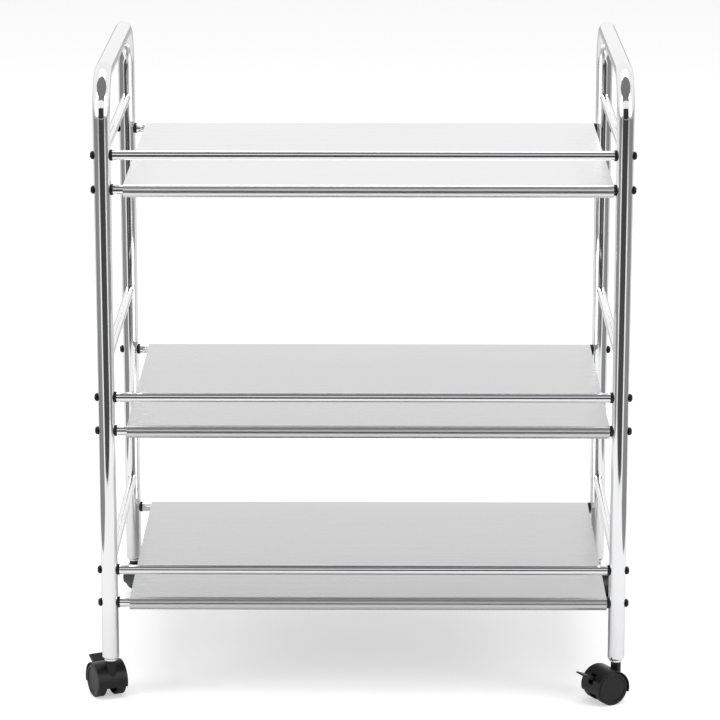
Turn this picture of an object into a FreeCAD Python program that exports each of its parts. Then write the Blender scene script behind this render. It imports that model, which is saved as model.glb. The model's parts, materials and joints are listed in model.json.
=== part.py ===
# Three-tier food service trolley: chromed tube end frames, rolled-edge steel shelves and four twin-wheel casters.
# Millimetres. X runs across the trolley, Y from front to rear, Z up. The origin is on the floor under its middle.
import FreeCAD, Part
import math
import os
import re

import Sketcher

SIZES = {
    "post_spacing_x": 745.0,  # between post centres, left to right
    "post_spacing_y": 500.0,  # between post centres, front to rear
    "post_od": 25.0,
    "post_wall": 1.2,
    "post_bottom": 63.0,  # height of the lower end of each post
    "post_lip": 3.0,  # radius that the lower end is spun in by
    "seam_height": 848.0,  # where the handle stands on the posts
    "handle_height": 929.0,  # centre line of the handle's level run
    "handle_bend": 60.0,  # centre line radius of its two bends
    "rail_od": 14.0,
    "rail_wall": 1.0,
    "low_rail_height": 149.0,  # centre line of the rail that carries each shelf
    "mid_rail_height": 410.0,
    "top_rail_height": 766.0,
    "guard_rise": 50.0,  # from a shelf's rail up to its front guard rail
    "seat_gap": 0.05,  # clearance where a tube is coped or sleeved on another
    "hole_gap": 0.2,  # clearance of a screw in a drilled hole
    "saddle_od": 16.0,
    "saddle_length": 2.5,  # from a post's face to its rail's end
    "screw_od": 6.0,
    "screw_head_od": 12.0,
    "screw_head_height": 4.5,
    "screw_grip": 18.0,  # thread inside the rail's insert
    "insert_length": 24.0,
    "joiner_bend_gap": 3.0,  # from the joiner's upper end to the handle's bend
    "joiner_screw_gap": 2.8,  # from its lower end to the topmost guard rail's screws
    "joiner_wall": 1.5,
    "shelf_sheet": 1.0,
    "shelf_length": 700.0,
    "shelf_slide": 7.0,  # how far the shelf sits off centre along its rails
    "roll_slack": 1.5,  # how much larger the rolled edge is than its rail, in radius
    "shelf_hem": 8.0,  # depth of the turned-down ends
    "hem_inset": 12.0,  # from a rail's centre line to the end of a hem
    "stem_od": 8.0,
    "stem_foot": 25.0,  # height of the stem's lower end
    "stem_thread_od": 10.0,
    "stem_collar_od": 19.0,
    "stem_collar_height": 2.7,
    "socket_length": 38.0,
    "wheel_radius": 25.0,
    "wheel_width": 14.5,
    "wheel_face": 8.2,  # from the caster's middle plane to a wheel's inner face
    "axle_od": 6.0,
    "axle_depth": 12.0,  # depth of the blind bore in each wheel
    "axle_end_gap": 0.4,
    "trail": 18.0,  # from the swivel axis to the axle
    "hood_gap": 0.8,  # running gap between wheel and hood
    "hood_wall": 1.5,
    "hood_half_width": 23.0,
    "hood_hem": 17.5,  # height of the hood's lower edge
    "web_half_width": 7.5,
    "neck_od": 15.0,
    "neck_gap": 0.3,  # between the neck and the stem's collar
    "pivot_gap": 0.05,  # running clearance of a pin, stem or axle in its bore
    "lever_back": 35.0,  # brake pivot, behind the swivel axis
    "lever_height": 36.0,  # brake pivot, above the floor
    "lever_half_width": 5.3,
    "lever_side_gap": 0.5,
    "lever_hub_radius": 4.5,
    "paddle_half_width": 10.5,
    "pin_od": 3.0,
    "front_left_yaw": -64.0,  # which way each caster points at rest
    "front_right_yaw": 30.0,
}
SHELF_LEVELS = {"lower": "low_rail_height", "middle": "mid_rail_height", "upper": "top_rail_height"}
SIDES = {"left": -1, "right": 1}
ENDS = {"front": -1, "rear": 1}

POST_R = "post_od / 2"
COPE_R = "(post_od / 2 + seat_gap)"
RAIL_HALF = "(post_spacing_x / 2 - post_od / 2 - saddle_length)"
ROLL_INNER = "(rail_od / 2 + roll_slack)"
ROLL_OUTER = "(rail_od / 2 + roll_slack + shelf_sheet)"
HOOD_INNER = "(wheel_radius + hood_gap)"
HOOD_OUTER = "(wheel_radius + hood_gap + hood_wall)"
NECK_TOP = "(post_bottom - stem_collar_height - 2 * neck_gap)"

doc = FreeCAD.newDocument("trolley")
sizes = doc.addObject("Spreadsheet::Sheet", "Sizes")
for row, (alias, number) in enumerate(SIZES.items(), 1):
    sizes.set(f"A{row}", str(number))
    sizes.setAlias(f"A{row}", alias)
doc.recompute()


def bound(text):
    """The expression with each size's name pointed at the sheet."""
    return re.sub(r"[a-z]\w*", lambda m: "Sizes." + m[0] if m[0] in SIZES else m[0], text)


def value(text):
    return float(sizes.evalExpression(bound(text)))


def new_body(name):
    body = doc.addObject("PartDesign::Body", name)
    body.Label = name
    return body


def place(body, x="0", y="0", z="0", yaw="0"):
    spot = FreeCAD.Vector(value(x), value(y), value(z))
    body.Placement = FreeCAD.Placement(spot, FreeCAD.Rotation(FreeCAD.Vector(0, 0, 1), value(yaw)))
    for axis, text in zip("xyz", (x, y, z)):
        body.setExpression("Placement.Base." + axis, bound(text))
    if yaw != "0":
        body.setExpression("Placement.Rotation.Angle", bound(yaw))


def new_sketch(body, plane, offset="0"):
    sketch = body.newObject("Sketcher::SketchObject", body.Label + "_sketch")
    face = next(f for f in body.Origin.OriginFeatures if f.Role == plane)
    sketch.AttachmentSupport = [(face, "")]
    sketch.MapMode = "FlatFace"
    if offset != "0":
        sketch.setExpression("AttachmentOffset.Base.z", bound(offset))
    return sketch


def limit(sketch, kind, *args, text):
    index = sketch.addConstraint(Sketcher.Constraint(kind, *args, value(text)))
    sketch.setExpression(f"Constraints[{index}]", bound(text))


def pin_down(sketch, item, end, x, y):
    """Fixes one point of a sketch. A coordinate marked ~ is only where it starts: its arc decides it."""
    for kind, axis_line, text in (("DistanceX", -2, x), ("DistanceY", -1, y)):
        if text.startswith("~"):
            continue
        if text == "0":
            sketch.addConstraint(Sketcher.Constraint("PointOnObject", item, end, axis_line))
        else:
            limit(sketch, kind, -1, 1, item, end, text=text)


def draw_circle(sketch, x, y, radius):
    middle = FreeCAD.Vector(value(x), value(y), 0)
    item = sketch.addGeometry(Part.Circle(middle, FreeCAD.Vector(0, 0, 1), value(radius)))
    limit(sketch, "Radius", item, text=radius)
    pin_down(sketch, item, 3, x, y)


def start_of(corner):
    return FreeCAD.Vector(*(value(text.lstrip("~")) for text in corner[:2]), 0)


def draw_outline(sketch, corners, closed=True):
    """Corners are (x, y), or (x, y, arc) where arc is (centre x, centre y, turn) of the arc to the next corner."""
    items = []
    count = len(corners)
    for k in range(count if closed else count - 1):
        here, there = corners[k], corners[(k + 1) % count]
        if len(here) == 3:
            cx, cy, turn = here[2]
            middle = FreeCAD.Vector(value(cx), value(cy), 0)
            a, b = start_of(here) - middle, start_of(there) - middle
            angles = [math.atan2(v.y, v.x) for v in ((a, b) if turn > 0 else (b, a))]
            ring = Part.Circle(middle, FreeCAD.Vector(0, 0, 1), a.Length)
            item = sketch.addGeometry(Part.ArcOfCircle(ring, *angles))
            items.append((item, 1, 2) if turn > 0 else (item, 2, 1))
            pin_down(sketch, item, 3, cx, cy)
        else:
            item = sketch.addGeometry(Part.LineSegment(start_of(here), start_of(there)))
            items.append((item, 1, 2))
    for k, (item, first, last) in enumerate(items):
        pin_down(sketch, item, first, *corners[k][:2])
        if closed or k + 1 < len(items):
            after = items[(k + 1) % len(items)]
            sketch.addConstraint(Sketcher.Constraint("Coincident", item, last, after[0], after[1]))
    if not closed:
        pin_down(sketch, items[-1][0], items[-1][2], *corners[-1][:2])


def slab(body, kind, plane, length, offset="0", circles=(), outline=None):
    """A Pad or Pocket, half its length on each side of the plane at this offset."""
    sketch = new_sketch(body, plane, offset)
    for circle in circles:
        draw_circle(sketch, *circle)
    if outline:
        draw_outline(sketch, outline)
    feature = body.newObject("PartDesign::" + kind, f"{body.Label}_{kind.lower()}")
    feature.Profile = sketch
    feature.SideType = "Symmetric"
    feature.setExpression("Length", bound(length))
    return feature


def turned(body, outline, axis_height="0", offset="0", plane="XZ_Plane", axis="V_Axis"):
    """A Revolution about the sketch's own axis, or about a level line at axis_height."""
    sketch = new_sketch(body, plane, offset)
    draw_outline(sketch, outline)
    if axis_height != "0":
        z = value(axis_height)
        line = Part.LineSegment(FreeCAD.Vector(-1, z, 0), FreeCAD.Vector(1, z, 0))
        item = sketch.addGeometry(line, True)
        pin_down(sketch, item, 1, "-1", axis_height)
        pin_down(sketch, item, 2, "1", axis_height)
        axis = "Axis0"
    feature = body.newObject("PartDesign::Revolution", body.Label + "_turned")
    feature.Profile = sketch
    feature.ReferenceAxis = (sketch, [axis])
    feature.Angle = 360
    return feature


def post_x(side):
    return f"{SIDES[side]} * post_spacing_x / 2"


def post_y(end):
    return f"{ENDS[end]} * post_spacing_y / 2"


def rail_heights(end):
    """Heights at which rails are screwed to a post: only the front has guard rails."""
    lows = list(SHELF_LEVELS.values())
    return lows + [f"({low} + guard_rise)" for low in lows] if end == "front" else lows


# End frames

def make_post(side, end):
    body = new_body(f"{end}_{side}_post")
    lip_x = f"({POST_R} - post_lip)"
    lip_z = "(post_bottom + post_lip)"
    outline = [
        (POST_R, "seam_height"),
        (POST_R, lip_z, (lip_x, lip_z, -1)),
        (lip_x, "~post_bottom"),
        (lip_x, "~(post_bottom + post_wall)", (lip_x, lip_z, 1)),
        (f"{POST_R} - post_wall", lip_z),
        (f"{POST_R} - post_wall", "seam_height"),
    ]
    turned(body, outline)
    holes = [("0", height, "screw_od / 2 + hole_gap") for height in rail_heights(end)]
    slab(body, "Pocket", "YZ_Plane", "2 * post_od", circles=holes)
    place(body, post_x(side), post_y(end))


def make_handle(side):
    """One tube bent down at both ends, drawn from the front seam over to the rear one."""
    body = new_body(f"{side}_handle")
    run = new_sketch(body, "YZ_Plane")
    front, rear = "-post_spacing_y / 2", "post_spacing_y / 2"
    bend_z = "(handle_height - handle_bend)"
    draw_outline(run, [
        (front, "seam_height"),
        (front, bend_z, (f"{front} + handle_bend", bend_z, -1)),
        (f"{front} + handle_bend", "~handle_height"),
        (f"{rear} - handle_bend", "handle_height", (f"{rear} - handle_bend", bend_z, -1)),
        (f"~({rear})", bend_z),
        (rear, "seam_height"),
    ], closed=False)
    ring = new_sketch(body, "XY_Plane", "seam_height")
    draw_circle(ring, "0", front, POST_R)
    draw_circle(ring, "0", front, f"{POST_R} - post_wall")
    pipe = body.newObject("PartDesign::AdditivePipe", body.Label + "_pipe")
    pipe.Profile = ring
    pipe.Spine = run
    place(body, post_x(side))


def tube(body, plane, radius, wall, length):
    slab(body, "Pad", plane, length, circles=[("0", "0", radius), ("0", "0", f"{radius} - {wall}")])


def make_cross_bar(side, level, height):
    """Welded between the front and rear post, its ends coped to their round faces."""
    body = new_body(f"{side}_{level}_cross_bar")
    tube(body, "XZ_Plane", "rail_od / 2", "rail_wall", "post_spacing_y")
    for end in ENDS:
        slab(body, "Pocket", "XY_Plane", "2 * rail_od", circles=[("0", post_y(end), COPE_R)])
    place(body, post_x(side), "0", height)


def make_rail(name, end, height):
    body = new_body(name)
    tube(body, "YZ_Plane", "rail_od / 2", "rail_wall", f"2 * {RAIL_HALF}")
    place(body, "0", post_y(end), height)


# Shelves

def make_shelf(level, rail_height):
    """A sheet whose long edges are rolled round the front and rear rails, and whose ends are turned down."""
    body = new_body(f"{level}_shelf")
    front, rear = "-post_spacing_y / 2", "post_spacing_y / 2"
    drop = "-roll_slack"
    top, under = f"({ROLL_OUTER} - roll_slack)", f"({ROLL_INNER} - roll_slack)"
    hook = 0.5  # the roll ends where its centre line has come back in by half its radius
    tip = f"sqrt(1 - {hook} ^ 2)"
    outline = [
        (front, top),
        (rear, top, (rear, drop, -1)),
        (f"{rear} - {hook} * {ROLL_OUTER}", f"~(-roll_slack - {tip} * {ROLL_OUTER})"),
        (f"{rear} - {hook} * {ROLL_INNER}", f"~(-roll_slack - {tip} * {ROLL_INNER})", (rear, drop, 1)),
        (rear, under),
        (front, under, (front, drop, 1)),
        (f"{front} + {hook} * {ROLL_INNER}", f"~(-roll_slack - {tip} * {ROLL_INNER})"),
        (f"{front} + {hook} * {ROLL_OUTER}", f"~(-roll_slack - {tip} * {ROLL_OUTER})", (front, drop, -1)),
    ]
    slab(body, "Pad", "YZ_Plane", "shelf_length", outline=outline)
    hem_end = "(post_spacing_y / 2 - hem_inset)"
    hem = [(f"-{hem_end}", under), (hem_end, under),
           (hem_end, f"{under} - shelf_hem"), (f"-{hem_end}", f"{under} - shelf_hem")]
    for sign in SIDES.values():
        middle = f"{sign} * (shelf_length - shelf_sheet) / 2"
        slab(body, "Pad", "YZ_Plane", "shelf_sheet", offset=middle, outline=hem)
    place(body, "shelf_slide", "0", f"{rail_height} + seat_gap")


# Fasteners and inner pieces: one of each is drawn, then copied to every place it is used

def make_screw():
    """Pan head screw, along X from under its head."""
    body = new_body("screw_pattern")
    shank = "post_od + saddle_length + screw_grip"
    head_r, shank_r, recess_r = "screw_head_od / 2", "screw_od / 2", "screw_od / 3"
    outline = [
        ("0", shank_r), (shank, shank_r), (shank, "0"),
        ("-screw_head_height / 2", "0"), ("-screw_head_height / 2", recess_r),
        ("-screw_head_height", recess_r), ("-screw_head_height", f"{head_r} - screw_head_height / 2"),
        ("-screw_head_height / 2", head_r), ("0", head_r),
    ]
    turned(body, outline, axis="H_Axis")
    return body


def make_saddle():
    """Washer whose outer side is hollowed to sit on a round post, along X from the post's centre."""
    body = new_body("saddle_pattern")
    foot = "(post_od / 2 + saddle_length)"
    depth = "saddle_od / 2"
    slab(body, "Pad", "YZ_Plane", depth, offset=f"{foot} - {depth} / 2",
         circles=[("0", "0", "saddle_od / 2"), ("0", "0", "screw_od / 2 + hole_gap")])
    slab(body, "Pocket", "XY_Plane", "2 * saddle_od", circles=[("0", "0", COPE_R)])
    return body


def make_insert():
    """Threaded plug in a rail's end, along X from the post's centre."""
    body = new_body("insert_pattern")
    middle = "post_od / 2 + saddle_length + insert_length / 2"
    slab(body, "Pad", "YZ_Plane", "insert_length", offset=middle,
         circles=[("0", "0", "rail_od / 2 - rail_wall - seat_gap"), ("0", "0", "screw_od / 2 + seat_gap")])
    return body


def make_joiner():
    """Sleeve inside the seam between handle and post."""
    body = new_body("joiner_pattern")
    outer = f"({POST_R} - post_wall - seat_gap)"
    top = "(handle_height - handle_bend - joiner_bend_gap)"
    foot = "(top_rail_height + guard_rise + screw_od / 2 + joiner_screw_gap)"
    slab(body, "Pad", "XY_Plane", f"{top} - {foot}", offset=f"({top} + {foot}) / 2",
         circles=[("0", "0", outer), ("0", "0", f"{outer} - joiner_wall")])
    return body


def make_socket():
    """Plug in a post's foot that grips the caster's stem."""
    body = new_body("socket_pattern")
    slab(body, "Pad", "XY_Plane", "socket_length", offset="post_bottom + post_lip + socket_length / 2",
         circles=[("0", "0", f"{POST_R} - post_wall - seat_gap"), ("0", "0", "stem_thread_od / 2 + seat_gap")])
    return body


def group(name, pattern, spots):
    """Separate copies of one piece, each at (x, y, z, yaw), kept as one node."""
    copies = []
    for x, y, z, yaw in spots:
        copy = pattern.Shape.copy()
        turn = FreeCAD.Rotation(FreeCAD.Vector(0, 0, 1), yaw)
        copy.Placement = FreeCAD.Placement(FreeCAD.Vector(value(x), value(y), value(z)), turn)
        copies.append(copy)
    feature = doc.addObject("Part::Feature", name)
    feature.Label = name
    feature.Shape = Part.makeCompound(copies)


def rail_end_spots(from_outside):
    """Each end of each rail: at the post's centre, or at its outer face with the screw pointing in."""
    spots = []
    for side, sign in SIDES.items():
        reach = f" + {sign} * (post_od / 2 + seat_gap)" if from_outside else ""
        for end in ENDS:
            for height in rail_heights(end):
                spots.append((post_x(side) + reach, post_y(end), height, 180 if sign > 0 else 0))
    return spots


# Casters: each piece is drawn about the swivel axis, with the axle behind it on -X

def make_stem(name, spot):
    body = new_body(name + "_stem")
    collar_z = "(post_bottom - neck_gap)"
    outline = [
        ("0", "stem_foot"), ("stem_od / 2", "stem_foot"),
        ("stem_od / 2", f"{collar_z} - stem_collar_height"),
        ("stem_collar_od / 2", f"{collar_z} - stem_collar_height"),
        ("stem_collar_od / 2", collar_z), ("stem_thread_od / 2", collar_z),
        ("stem_thread_od / 2", "post_bottom + post_lip + socket_length"),
        ("0", "post_bottom + post_lip + socket_length"),
    ]
    turned(body, outline)
    place(body, *spot)


def make_hood(name, spot, has_brake):
    """Moulded housing: a round cover over both wheels, a web between them and the neck that turns on the stem."""
    body = new_body(name + "_hood")
    axle = ("-trail", "wheel_radius")
    half_chord = f"sqrt({HOOD_OUTER} ^ 2 - (wheel_radius - hood_hem) ^ 2)"
    cover = [
        (f"-trail - {half_chord}", "~hood_hem"),
        (f"-trail + {half_chord}", "hood_hem", (*axle, 1)),
    ]
    slab(body, "Pad", "XZ_Plane", "2 * hood_half_width", outline=cover)
    neck_length = f"({NECK_TOP} - wheel_radius)"
    slab(body, "Pad", "XY_Plane", neck_length, offset=f"wheel_radius + {neck_length} / 2",
         circles=[("0", "0", "neck_od / 2")])
    well = "(hood_half_width - web_half_width)"
    for sign in SIDES.values():
        slab(body, "Pocket", "XZ_Plane", well, offset=f"{sign} * (web_half_width + {well} / 2)",
             circles=[(*axle, HOOD_INNER)])
    bore = f"({NECK_TOP} - stem_foot + 2 * neck_gap)"
    slab(body, "Pocket", "XY_Plane", bore, offset=f"stem_foot - neck_gap + {bore} / 2",
         circles=[("0", "0", "stem_od / 2 + pivot_gap")])
    slab(body, "Pocket", "XZ_Plane", "2 * hood_half_width", circles=[(*axle, "axle_od / 2")])
    if has_brake:
        low = "(lever_height - lever_hub_radius - lever_side_gap)"
        front = "(-lever_back + lever_hub_radius + lever_side_gap)"
        back = f"(-trail - {HOOD_OUTER} - lever_side_gap)"
        high = "(lever_height + 2 * lever_hub_radius)"
        slot = [(back, low), (front, low), (front, high), (back, high)]
        slab(body, "Pocket", "XZ_Plane", "2 * (lever_half_width + lever_side_gap)", outline=slot)
        slab(body, "Pocket", "XZ_Plane", "2 * hood_half_width",
             circles=[("-lever_back", "lever_height", "pin_od / 2")])
    place(body, *spot)


def make_wheel(name, spot, side):
    """Wheel with a blind bore for the axle, a ring-shaped hollow inside and a dished outer face."""
    body = new_body(f"{name}_{side}_wheel")
    sign = SIDES[side]
    hub, rim = "axle_od", "wheel_radius - 3.5"
    bore = "axle_od / 2 + pivot_gap"
    web = "wheel_width - 4.5"
    dish = "wheel_width - 1.5"
    profile = [
        ("0", bore), ("axle_depth", bore), ("axle_depth", "0"),
        (dish, "0"), (dish, "wheel_radius - 6"), ("wheel_width", "wheel_radius - 4.5"),
        ("wheel_width", "wheel_radius - 2"), (dish, "wheel_radius"), ("1.5", "wheel_radius"),
        ("0", "wheel_radius - 1.5"), ("0", rim), (web, rim), (web, hub), ("0", hub),
    ]
    outline = [(f"{sign} * (wheel_face + {along})", f"wheel_radius + {out}") for along, out in profile]
    turned(body, outline, axis_height="wheel_radius", offset="-trail", plane="YZ_Plane")
    place(body, *spot)


def make_axle(name, spot):
    body = new_body(name + "_axle")
    slab(body, "Pad", "XZ_Plane", "2 * (wheel_face + axle_depth - axle_end_gap)",
         circles=[("-trail", "wheel_radius", "axle_od / 2")])
    place(body, *spot)


def make_lever(name, spot):
    """Brake lever: an arm that comes out through the back of the hood and carries a wide paddle."""
    body = new_body(name + "_brake_lever")
    pivot = ("-lever_back", "lever_height")
    width = "2 * lever_half_width"
    slab(body, "Pad", "XZ_Plane", width, circles=[(*pivot, "lever_hub_radius")])
    arm = [("-lever_back + 1.5", "lever_height + 4"), ("-lever_back - 11", "lever_height + 9"),
           ("-lever_back - 13", "lever_height + 5"), ("-lever_back - 2", "lever_height - 3.5")]
    slab(body, "Pad", "XZ_Plane", width, outline=arm)
    paddle = [("-lever_back - 11", "lever_height + 9"), ("-lever_back - 27", "lever_height + 15"),
              ("-lever_back - 27.5", "lever_height + 12.5"), ("-lever_back - 13", "lever_height + 5")]
    slab(body, "Pad", "XZ_Plane", "2 * paddle_half_width", outline=paddle)
    slab(body, "Pocket", "XZ_Plane", "2 * paddle_half_width", circles=[(*pivot, "pin_od / 2 + pivot_gap")])
    place(body, *spot)


def make_pin(name, spot):
    body = new_body(name + "_brake_pin")
    slab(body, "Pad", "XZ_Plane", "2 * web_half_width", circles=[("-lever_back", "lever_height", "pin_od / 2")])
    place(body, *spot)


def make_caster(end, side, yaw):
    name = f"{end}_{side}_caster"
    spot = (post_x(side), post_y(end), "0", yaw)
    has_brake = end == "front"
    make_stem(name, spot)
    make_hood(name, spot, has_brake)
    make_axle(name, spot)
    for wheel_side in SIDES:
        make_wheel(name, spot, wheel_side)
    if has_brake:
        make_lever(name, spot)
        make_pin(name, spot)


for side in SIDES:
    make_handle(side)
    for end in ENDS:
        make_post(side, end)
    make_cross_bar(side, "lower", "low_rail_height + guard_rise")
    make_cross_bar(side, "middle", "(low_rail_height + top_rail_height) / 2 + guard_rise")
    make_cross_bar(side, "upper", "top_rail_height + guard_rise")
for level, rail_height in SHELF_LEVELS.items():
    make_rail(f"{level}_front_rail", "front", rail_height)
    make_rail(f"{level}_rear_rail", "rear", rail_height)
    make_rail(f"{level}_guard_rail", "front", f"{rail_height} + guard_rise")
    make_shelf(level, rail_height)
make_caster("front", "left", "front_left_yaw")
make_caster("front", "right", "front_right_yaw")
make_caster("rear", "left", "front_right_yaw + 180")
make_caster("rear", "right", "front_left_yaw + 180")

patterns = [make_screw(), make_saddle(), make_insert(), make_joiner(), make_socket()]
doc.recompute()
screw, saddle, insert, joiner, socket = patterns
post_spots = [(post_x(side), post_y(end), "0", 0) for side in SIDES for end in ENDS]
group("rail_screws", screw, rail_end_spots(True))
group("rail_saddles", saddle, rail_end_spots(False))
group("rail_inserts", insert, rail_end_spots(False))
group("handle_joiners", joiner, post_spots)
group("caster_sockets", socket, post_spots)
doc.recompute()

for item in doc.Objects:
    if "Invalid" in item.State or "Error" in item.State:
        raise RuntimeError(f"{item.Label} failed: {item.State}")
nodes = [item for item in doc.Objects
         if item.TypeId in ("PartDesign::Body", "Part::Feature") and item not in patterns]
for node in nodes:
    if node.Shape.isNull() or not node.Shape.isValid():
        raise RuntimeError(f"{node.Label} has no valid shape")
os.makedirs("parts", exist_ok=True)
for node in nodes:
    node.Shape.exportStep(f"parts/{node.Label}.step")
print(len(nodes), "nodes,", sum(len(node.Shape.Solids) for node in nodes), "solids")
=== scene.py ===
# Food service trolley: finishes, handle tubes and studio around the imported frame. Metres, front towards -Y.
import bpy
import json
import math
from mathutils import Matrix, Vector


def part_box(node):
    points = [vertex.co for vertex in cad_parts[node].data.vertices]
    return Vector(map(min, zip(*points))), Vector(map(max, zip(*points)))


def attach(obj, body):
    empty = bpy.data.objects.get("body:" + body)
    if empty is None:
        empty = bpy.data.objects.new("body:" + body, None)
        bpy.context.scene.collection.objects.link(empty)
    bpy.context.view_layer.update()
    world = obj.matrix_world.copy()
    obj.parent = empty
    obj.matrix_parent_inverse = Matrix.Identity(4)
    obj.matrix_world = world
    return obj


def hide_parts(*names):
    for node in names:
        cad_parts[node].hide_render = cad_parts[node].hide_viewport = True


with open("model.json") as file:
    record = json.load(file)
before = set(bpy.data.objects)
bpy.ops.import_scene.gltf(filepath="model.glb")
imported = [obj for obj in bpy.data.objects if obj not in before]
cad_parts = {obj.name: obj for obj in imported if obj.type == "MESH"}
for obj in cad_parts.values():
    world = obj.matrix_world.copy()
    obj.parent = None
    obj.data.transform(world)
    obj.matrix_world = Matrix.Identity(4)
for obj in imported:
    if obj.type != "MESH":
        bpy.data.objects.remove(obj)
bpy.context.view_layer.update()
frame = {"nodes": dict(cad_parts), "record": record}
nodes = frame["nodes"]
sides = ("left", "right")


# Shader nodes. A Val is a socket that Python's operators work on.

class Val:
    def __init__(self, tree, socket):
        self.tree = tree
        self.socket = socket

    def math(self, kind, a, b):
        return self.tree.node("ShaderNodeMath", {"operation": kind}, {0: a, 1: b})

    def __add__(self, other):
        return self.math("ADD", self, other)

    def __radd__(self, other):
        return self.math("ADD", other, self)

    def __mul__(self, other):
        return self.math("MULTIPLY", self, other)

    def __rmul__(self, other):
        return self.math("MULTIPLY", other, self)


class Tree:
    def __init__(self, nodeTree, shaderName):
        self.nodes = nodeTree.nodes
        self.links = nodeTree.links
        self.shader = self.nodes[shaderName]

    def put(self, value, socket):  # a link if the value is a Val, and a plain number or colour if not
        if isinstance(value, Val):
            self.links.new(value.socket, socket)
        else:
            socket.default_value = value

    def set(self, name, value):
        self.put(value, self.shader.inputs[name])

    def node(self, kind, settings=None, inputs=None, out=0):
        made = self.nodes.new(kind)
        for key, value in (settings or {}).items():
            setattr(made, key, value)
        for key, value in (inputs or {}).items():
            self.put(value, made.inputs[key])
        return Val(self, made.outputs[out])


class Finish(Tree):
    def __init__(self, name, color, roughness, metallic=0.0):
        self.material = bpy.data.materials.new(name)
        self.material.use_nodes = True
        super().__init__(self.material.node_tree, "Principled BSDF")
        self.set("Base Color", (*color, 1))
        self.set("Roughness", roughness)
        self.set("Metallic", metallic)

    def noise(self, scale, spread=(1, 1, 1), detail=4.0):
        coords = self.node("ShaderNodeTexCoord", out="Object")
        place = self.node("ShaderNodeMapping", {}, {"Vector": coords, "Scale": spread})
        return self.node("ShaderNodeTexNoise", {}, {"Vector": place, "Scale": scale, "Detail": detail})

    def shade(self, factor, dark, light):
        colors = {"Factor": factor, "A": (*dark, 1), "B": (*light, 1)}
        self.set("Base Color", self.node("ShaderNodeMix", {"data_type": "RGBA"}, colors, out=2))

    def bump(self, height, distance, strength):
        raised = {"Height": height, "Distance": distance, "Strength": strength}
        self.set("Normal", self.node("ShaderNodeBump", {}, raised))


# Finishes

chrome = {
    "dark": (0.80, 0.80, 0.81),
    "light": (0.90, 0.90, 0.91),
    "smudge": 9,
    "roughest": 0.06,  # what a smudge adds
    "smoothest": 0.02,
    "wave": 60,
    "waveDepth": 0.00002,
}
sheet = {
    # painted shade: the same steel gets a tone per shelf, with the middle and lower shelves painted darker as
    # shade from the shelves above
    "shadeTone": {"lower": 0.60, "middle": 0.64, "upper": 0.80},
    "tint": 0.05,  # how far the colour varies at random around each shelf's painted-shade tone
    "brush": 40,
    "brushStretch": (0.03, 6, 6),  # lines that run along the shelf
    "cloud": 2.5,
    "brushRough": 0.12,
    "cloudRough": 0.06,
    "smoothest": 0.2,
    "brushDepth": 0.00002,
}
zinc = {"dark": (0.74, 0.74, 0.75), "light": (0.88, 0.88, 0.88), "grain": 300, "rough": 0.15}
black = {"darkest": 0.7, "lightest": 1.4, "specular": 0.3, "roughSpread": 0.2, "strength": 0.5}


def chromeFinish():
    f = Finish("chrome", chrome["light"], 0.05, metallic=1.0)
    smudge = f.noise(chrome["smudge"], detail=6)
    f.shade(smudge, chrome["dark"], chrome["light"])
    f.set("Roughness", smudge * chrome["roughest"] + chrome["smoothest"])
    f.bump(f.noise(chrome["wave"], detail=2), chrome["waveDepth"], 0.3)  # drawn tube is slightly uneven
    return f.material


def shelfFinishAndShade(level):
    # the base tone carries painted shade: darker for the shelves lower down, under the others; brushing and
    # clouds are the steel's own grain
    shadeTone = sheet["shadeTone"][level]
    f = Finish(level + "BrushedSheet", (shadeTone,) * 3, 0.3, metallic=1.0)
    brush = f.noise(sheet["brush"], sheet["brushStretch"], 5)
    cloud = f.noise(sheet["cloud"], detail=3)
    f.shade(brush * 0.5 + cloud * 0.5, (shadeTone * (1 - sheet["tint"]),) * 3, (shadeTone * (1 + sheet["tint"]),) * 3)
    f.set("Roughness", brush * sheet["brushRough"] + cloud * sheet["cloudRough"] + sheet["smoothest"])
    f.bump(brush, sheet["brushDepth"], 0.5)
    return f.material


def zincFinish():
    f = Finish("zincPlate", zinc["light"], 0.22, metallic=1.0)
    speck = f.noise(zinc["grain"], detail=3)
    f.shade(speck, zinc["dark"], zinc["light"])
    f.set("Roughness", speck * zinc["rough"] + zinc["rough"])
    return f.material


def blackFinish(name, color, roughness, grain, depth):
    f = Finish(name, color, roughness)
    f.set("Specular IOR Level", black["specular"])
    speck = f.noise(grain, detail=5)
    f.shade(speck, tuple(c * black["darkest"] for c in color), tuple(c * black["lightest"] for c in color))
    f.set("Roughness", speck * black["roughSpread"] + (roughness - black["roughSpread"] / 2))
    f.bump(speck, depth, black["strength"])
    return f.material


finishes = {
    "tube_chrome": chromeFinish(),
    "screw_black": blackFinish("blackScrew", (0.008, 0.008, 0.009), 0.35, 700, 0.00003),
    "black_fitting": blackFinish("blackFitting", (0.008, 0.008, 0.008), 0.45, 500, 0.00003),
    "plain_steel": zincFinish(),
    "zinc_steel": zincFinish(),
    "hood_plastic": blackFinish("hoodNylon", (0.006, 0.006, 0.006), 0.34, 420, 0.00004),
    "wheel_plastic": blackFinish("wheelNylon", (0.007, 0.007, 0.007), 0.36, 350, 0.00004),
    "lever_plastic": blackFinish("leverNylon", (0.005, 0.005, 0.005), 0.3, 420, 0.00003),
}
for part in frame["record"]["subparts"]:
    name, slotName = part["node"], part["material_slot"]
    # each shelf level gets its own brushed steel, with painted shade darker on the lower shelves
    finish = shelfFinishAndShade(name.split("_")[0]) if slotName == "shelf_steel" else finishes[slotName]
    for slot in nodes[name].material_slots:
        slot.material = finish
print("finishes on", len(nodes), "nodes")


# Handles: a ring carried up, round both bends and down again

handle = {"radius": 0.0125, "bend": 0.060, "around": 96, "bendSteps": 40, "merge": 0.000001}


def carry(move):
    bpy.ops.mesh.extrude_region_move(TRANSFORM_OT_translate={"value": move})


def carryRound(center):
    turn = math.radians(90)
    bpy.ops.mesh.spin(steps=handle["bendSteps"], angle=turn, center=center, axis=(1, 0, 0))


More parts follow.
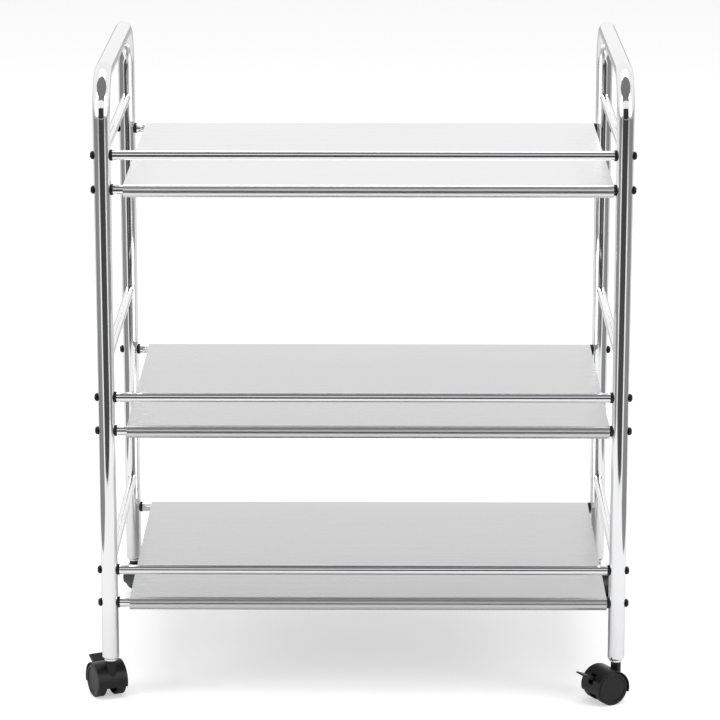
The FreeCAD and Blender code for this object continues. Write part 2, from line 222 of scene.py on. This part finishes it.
def makeHandle(side):
    low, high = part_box(side + "_handle")
    r, bend = handle["radius"], handle["bend"]
    x, front, rear = (low.x + high.x) / 2, low.y + r, high.y - r
    bendFoot = high.z - r - bend
    bpy.ops.object.select_all(action="DESELECT")
    bpy.ops.mesh.primitive_circle_add(vertices=handle["around"], radius=r, location=(x, front, low.z))
    piece = bpy.context.object
    piece.name = side + "HandleTube"
    bpy.ops.object.mode_set(mode="EDIT")
    bpy.ops.mesh.select_all(action="SELECT")
    carry((0, 0, bendFoot - low.z))
    carryRound((x, front + bend, bendFoot))
    carry((0, rear - front - 2 * bend, 0))
    carryRound((x, rear - bend, bendFoot))
    carry((0, 0, low.z - bendFoot))
    bpy.ops.mesh.select_all(action="SELECT")
    bpy.ops.mesh.remove_doubles(threshold=handle["merge"])
    bpy.ops.mesh.normals_make_consistent(inside=False)
    bpy.ops.object.mode_set(mode="OBJECT")
    bpy.ops.object.transform_apply(location=True, rotation=True, scale=True)
    bpy.ops.object.shade_smooth()
    piece.data.materials.append(finishes["tube_chrome"])
    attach(piece, "root")
    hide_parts(side + "_handle")
    print("made", piece.name)


for side in sides:
    makeHandle(side)


# Studio: a pale floor, cards that only reflections see, and soft boxes

studio = {
    "floorSize": 60.0,
    "floorColor": 0.80,
    "floorGlow": 0.42,  # added for the camera only
    "cardLift": 0.004,
    "trolleyFront": -0.25,
    "dark": 0.03,
    "grey": 0.2,
    "skyLight": 0.55,  # on matt surfaces
    "skySeen": 1.0,  # by the camera and in reflections
}


def flatCard(name, size, place, turn, color, glow=0.0):
    bpy.ops.object.select_all(action="DESELECT")
    bpy.ops.mesh.primitive_plane_add(size=1, location=place, rotation=turn)
    card = bpy.context.object
    card.name = name
    card.scale = (*size, 1)
    f = Finish(name + "Paper", (color,) * 3, 0.9)
    f.set("Emission Color", (1, 1, 1, 1))
    f.set("Emission Strength", glow)
    card.data.materials.append(f.material)
    return card, f


def reflectedCard(*card):
    made = flatCard(*card)[0]
    made.visible_camera = made.visible_shadow = made.visible_diffuse = False
    return made


def floorWedge(name, near, far, fromAngle, toAngle, glow):  # angles count from straight ahead
    card = reflectedCard(name, (1, 1), (0, 0, studio["cardLift"]), (0, 0, 0), 0.0, glow)
    edges = [(near, fromAngle), (far, fromAngle), (far, toAngle), (near, toAngle)]
    points = card.data.vertices
    order = sorted(range(4), key=lambda k: math.atan2(points[k].co.y, points[k].co.x))
    for k, (reach, angle) in zip(order, edges):
        turn = math.radians(angle)
        points[k].co = (reach * math.sin(turn), studio["trolleyFront"] - reach * math.cos(turn), 0)


def softbox(name, size, place, aim, power):
    data = bpy.data.lights.new(name, "AREA")
    data.shape = "RECTANGLE"
    data.size, data.size_y = size
    data.energy = power
    box = bpy.data.objects.new(name, data)
    bpy.context.scene.collection.objects.link(box)
    box.location = place
    box.rotation_euler = (Vector(aim) - Vector(place)).to_track_quat("-Z", "Y").to_euler()


floor, paper = flatCard("floor", (studio["floorSize"],) * 2, (0, 0, 0), (0, 0, 0), studio["floorColor"])
seen = paper.node("ShaderNodeLightPath", out="Is Camera Ray")
paper.set("Emission Strength", seen * studio["floorGlow"])
floorWedge("darkAhead", 1.45, 7.5, -36, 36, studio["dark"])
floorWedge("greyLeft", 1.3, 7.5, -50, -112, studio["grey"])
floorWedge("greyRight", 1.3, 7.5, 50, 112, studio["grey"])
reflectedCard("darkWallAhead", (9, 3.0), (0, -7.2, 1.5), (math.radians(90), 0, 0), 0.0, studio["dark"])
reflectedCard("greyAbove", (9, 5.2), (0, -2.4, 4.2), (math.radians(180), 0, 0), 0.0, studio["grey"])
softbox("topBox", (4, 4), (0, 0, 4.5), (0, 0, 0), 130)
softbox("leftBox", (1.6, 3), (-3.6, -2.2, 2.0), (0, 0, 0.5), 60)
softbox("rightBox", (1.6, 3), (3.6, -2.2, 2.0), (0, 0, 0.5), 60)

world = bpy.context.scene.world or bpy.data.worlds.new("studioSky")
bpy.context.scene.world = world
world.use_nodes = True
sky = Tree(world.node_tree, "Background")
cameraRay = sky.node("ShaderNodeLightPath", out="Is Camera Ray")
glossyRay = sky.node("ShaderNodeLightPath", out="Is Glossy Ray")
shown = sky.node("ShaderNodeMath", {"operation": "MAXIMUM"}, {0: cameraRay, 1: glossyRay})
levels = {"Value": shown, "To Min": studio["skyLight"], "To Max": studio["skySeen"]}
sky.set("Strength", sky.node("ShaderNodeMapRange", {}, levels))
sky.set("Color", (1, 1, 1, 1))
print("studio ready")


# Camera

view = {"place": (0.028, -5.20, 1.74), "tilt": 76.11, "turn": 0.38, "lens": 176.5, "sensor": 36}
lensData = bpy.data.cameras.new("viewCamera")
lensData.lens = view["lens"]
lensData.sensor_width = view["sensor"]
camera = bpy.data.objects.new("viewCamera", lensData)
bpy.context.scene.collection.objects.link(camera)
camera.location = view["place"]
camera.rotation_euler = (math.radians(view["tilt"]), 0, math.radians(view["turn"]))
bpy.context.scene.camera = camera
bpy.context.scene.view_settings.view_transform = "Standard"
print("camera ready")
